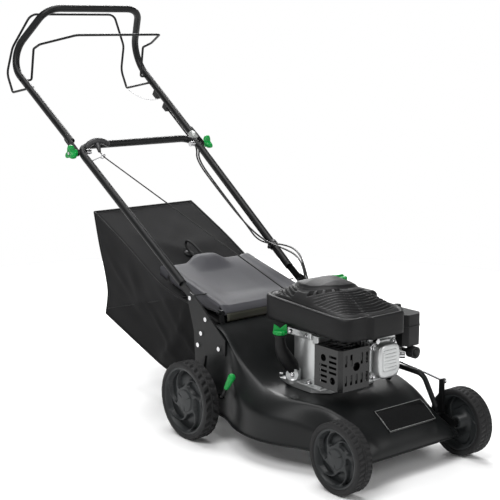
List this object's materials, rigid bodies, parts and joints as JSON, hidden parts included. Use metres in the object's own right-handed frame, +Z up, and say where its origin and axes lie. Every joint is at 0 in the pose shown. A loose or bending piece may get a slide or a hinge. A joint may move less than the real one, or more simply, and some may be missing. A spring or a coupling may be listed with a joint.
{
  "type": "push lawn mower",
  "caption": "Walk-behind petrol lawn mower with a round steel deck, rear grass bag, folding tube handle, two control bails and four swing-axle wheels.",
  "frame": {"origin": "on the ground, under the middle of the mower's overall box", "axes": "+Z up, the mower's front faces -Y and the operator stands at +Y; the operator's right is -X"},
  "size_m": [0.5532, 1.6339, 1.114],
  "materials": {
    "deck_paint": "satin black powder coat",
    "tube_paint": "satin black powder coat",
    "bright_steel": "bright zinc plate",
    "plain_steel": "ground steel",
    "cast_aluminium": "bright cast aluminium",
    "engine_paint": "gloss black",
    "black_plastic": "fine-grained black plastic",
    "green_plastic": "green plastic",
    "flap_plastic": "grey plastic",
    "wheel_plastic": "charcoal plastic",
    "tyre_rubber": "black rubber",
    "cable_jacket": "black cable jacket",
    "rope_fibre": "braided black cord",
    "bag_fabric": "woven black polyester",
    "belt_rubber": "belt rubber"
  },
  "bodies": {
    "root": {"deck_shell": "deck_paint", "front_carry_bar": "tube_paint", "handle_bracket_left": "tube_paint", "handle_bracket_right": "tube_paint", "handle_bolts": "bright_steel", "handle_lower": "tube_paint", "rope_guide": "bright_steel", "starter_rope": "rope_fibre", "cables_lower": "cable_jacket", "flap_hinge_rod": "tube_paint", "engine_crankcase": "cast_aluminium", "engine_cylinder": "cast_aluminium", "valve_cover": "cast_aluminium", "spark_plug": "bright_steel", "muffler": "engine_paint", "muffler_guard": "engine_paint", "blower_shroud": "black_plastic", "recoil_cover": "black_plastic", "fuel_tank": "black_plastic", "oil_filler_tube": "black_plastic", "air_filter_box": "black_plastic", "carburettor": "cast_aluminium", "primer_housing": "black_plastic", "transmission_housing": "black_plastic", "drive_belt": "belt_rubber"},
    "rear_axle": {"rear_axle": "tube_paint", "height_lever": "tube_paint", "lever_grip": "green_plastic"},
    "front_axle": {"front_axle": "tube_paint"},
    "link_rod": {"height_link_rod": "bright_steel"},
    "wheel_rear_right": {"tyre_rear_right": "tyre_rubber", "rim_rear_right": "wheel_plastic"},
    "wheel_rear_left": {"tyre_rear_left": "tyre_rubber", "rim_rear_left": "wheel_plastic"},
    "wheel_front_right": {"tyre_front_right": "tyre_rubber", "rim_front_right": "wheel_plastic"},
    "wheel_front_left": {"tyre_front_left": "tyre_rubber", "rim_front_left": "wheel_plastic"},
    "upper_handle": {"handle_upper": "tube_paint", "cable_brackets": "tube_paint", "cables_upper": "cable_jacket", "drive_wire": "bright_steel"},
    "drive_bail": {"drive_bail": "tube_paint"},
    "brake_bail": {"brake_bail": "tube_paint"},
    "knob_right": {"knob_right": "green_plastic"},
    "knob_left": {"knob_left": "green_plastic"},
    "starter_grip": {"starter_grip": "black_plastic"},
    "starter_pulley": {"starter_pulley": "black_plastic"},
    "rear_flap": {"rear_flap": "flap_plastic"},
    "grass_bag": {"grass_bag": "bag_fabric", "bag_frame": "tube_paint"},
    "rotor": {"crankshaft": "plain_steel", "flywheel": "cast_aluminium", "drive_pulley": "plain_steel", "blade": "plain_steel"},
    "gearbox_pulley": {"gearbox_pulley": "plain_steel"},
    "fuel_cap": {"fuel_cap": "green_plastic"},
    "oil_cap": {"oil_cap": "green_plastic"},
    "filter_knob": {"filter_knob": "black_plastic"},
    "primer_button": {"primer_button": "belt_rubber"}
  },
  "joints": [
    {"name": "height_adjust", "type": "hinge", "parent": "root", "child": "rear_axle", "pos_m": [0, -0.1723, 0.1136], "axis": [1, 0, 0], "range_deg": [-35, 20]},
    {"name": "front_axle_swing", "type": "hinge", "parent": "root", "child": "front_axle", "pos_m": [0, -0.6901, 0.09675], "axis": [1, 0, 0], "range_deg": [-35, 20]},
    {"name": "link_rod_pin", "type": "hinge", "parent": "rear_axle", "child": "link_rod", "pos_m": [0, -0.1723, 0.1986], "axis": [1, 0, 0], "range_deg": [-20, 35]},
    {"name": "wheel_rear_right_spin", "type": "hinge", "parent": "rear_axle", "child": "wheel_rear_right", "pos_m": [-0.2547, -0.2146, 0.1015], "axis": [1, 0, 0], "continuous": true},
    {"name": "wheel_rear_left_spin", "type": "hinge", "parent": "rear_axle", "child": "wheel_rear_left", "pos_m": [0.2547, -0.2146, 0.1015], "axis": [1, 0, 0], "continuous": true},
    {"name": "wheel_front_right_spin", "type": "hinge", "parent": "front_axle", "child": "wheel_front_right", "pos_m": [-0.2041, -0.7324, 0.08465], "axis": [1, 0, 0], "continuous": true},
    {"name": "wheel_front_left_spin", "type": "hinge", "parent": "front_axle", "child": "wheel_front_left", "pos_m": [0.2041, -0.7324, 0.08465], "axis": [1, 0, 0], "continuous": true},
    {"name": "handle_fold", "type": "hinge", "parent": "root", "child": "upper_handle", "pos_m": [0, 0.3776, 0.69], "axis": [1, 0, 0], "range_deg": [0, 120], "deforming": ["cables_upper", "cables_lower"]},
    {"name": "drive_bail_pivot", "type": "hinge", "parent": "upper_handle", "child": "drive_bail", "pos_m": [0, 0.65003, 0.8669], "axis": [1, 0, 0], "range_deg": [0, 22], "stiffness_Nm_per_rad": 1.5, "springref_deg": -20.05, "deforming": ["drive_wire"]},
    {"name": "brake_bail_pivot", "type": "hinge", "parent": "upper_handle", "child": "brake_bail", "pos_m": [0, 0.68098, 0.887], "axis": [1, 0, 0], "range_deg": [-35, 0], "stiffness_Nm_per_rad": 1.5, "springref_deg": 20.05},
    {"name": "knob_right_turn", "type": "hinge", "parent": "root", "child": "knob_right", "pos_m": [-0.24, 0.3776, 0.69], "axis": [1, 0, 0], "continuous": true},
    {"name": "knob_left_turn", "type": "hinge", "parent": "root", "child": "knob_left", "pos_m": [0.24, 0.3776, 0.69], "axis": [1, 0, 0], "continuous": true},
    {"name": "starter_pull", "type": "slide", "parent": "root", "child": "starter_grip", "axis": [0, 0.2, 0.9798], "range_m": [0, 0.45], "stiffness_N_per_m": 20, "springref_m": -0.3, "deforming": ["starter_rope"]},
    {"name": "starter_pulley_turn", "type": "hinge", "parent": "root", "child": "starter_pulley", "pos_m": [0, -0.455, 0.392], "axis": [0, 0, 1], "range_deg": [0, 810]},
    {"name": "rear_flap_hinge", "type": "hinge", "parent": "root", "child": "rear_flap", "pos_m": [0, -0.222, 0.318], "axis": [1, 0, 0], "range_deg": [0, 24], "stiffness_Nm_per_rad": 0.5, "springref_deg": -28.65},
    {"name": "grass_bag_slide", "type": "slide", "parent": "root", "child": "grass_bag", "axis": [0, 0.9656, 0.26], "range_m": [0, 0.3]},
    {"name": "rotor_spin", "type": "hinge", "parent": "root", "child": "rotor", "pos_m": [0, -0.455, 0.2], "axis": [0, 0, 1], "continuous": true},
    {"name": "gearbox_pulley_spin", "type": "hinge", "parent": "root", "child": "gearbox_pulley", "pos_m": [0, -0.196, 0.15], "axis": [0, 0, 1], "continuous": true},
    {"name": "fuel_cap_turn", "type": "hinge", "parent": "root", "child": "fuel_cap", "pos_m": [0.136, -0.35, 0.39], "axis": [0, 0, 1], "range_deg": [0, 120]},
    {"name": "oil_cap_turn", "type": "hinge", "parent": "root", "child": "oil_cap", "pos_m": [-0.138, -0.438, 0.306], "axis": [0, 0, 1], "range_deg": [0, 120]},
    {"name": "filter_knob_turn", "type": "hinge", "parent": "root", "child": "filter_knob", "pos_m": [0.126, -0.58, 0.36], "axis": [0, 0, 1], "range_deg": [0, 360]},
    {"name": "primer_press", "type": "slide", "parent": "root", "child": "primer_button", "axis": [0, 1, 0], "range_m": [0, 0.005], "stiffness_N_per_m": 400}
  ],
  "couplings": [
    {"joint": "front_axle_swing", "follows": "height_adjust", "ratio": 1},
    {"joint": "link_rod_pin", "follows": "height_adjust", "ratio": -1},
    {"joint": "starter_pulley_turn", "follows": "starter_pull", "rad_per_m": 31.25},
    {"joint": "gearbox_pulley_spin", "follows": "rotor_spin", "ratio": 0.7353}
  ]
}
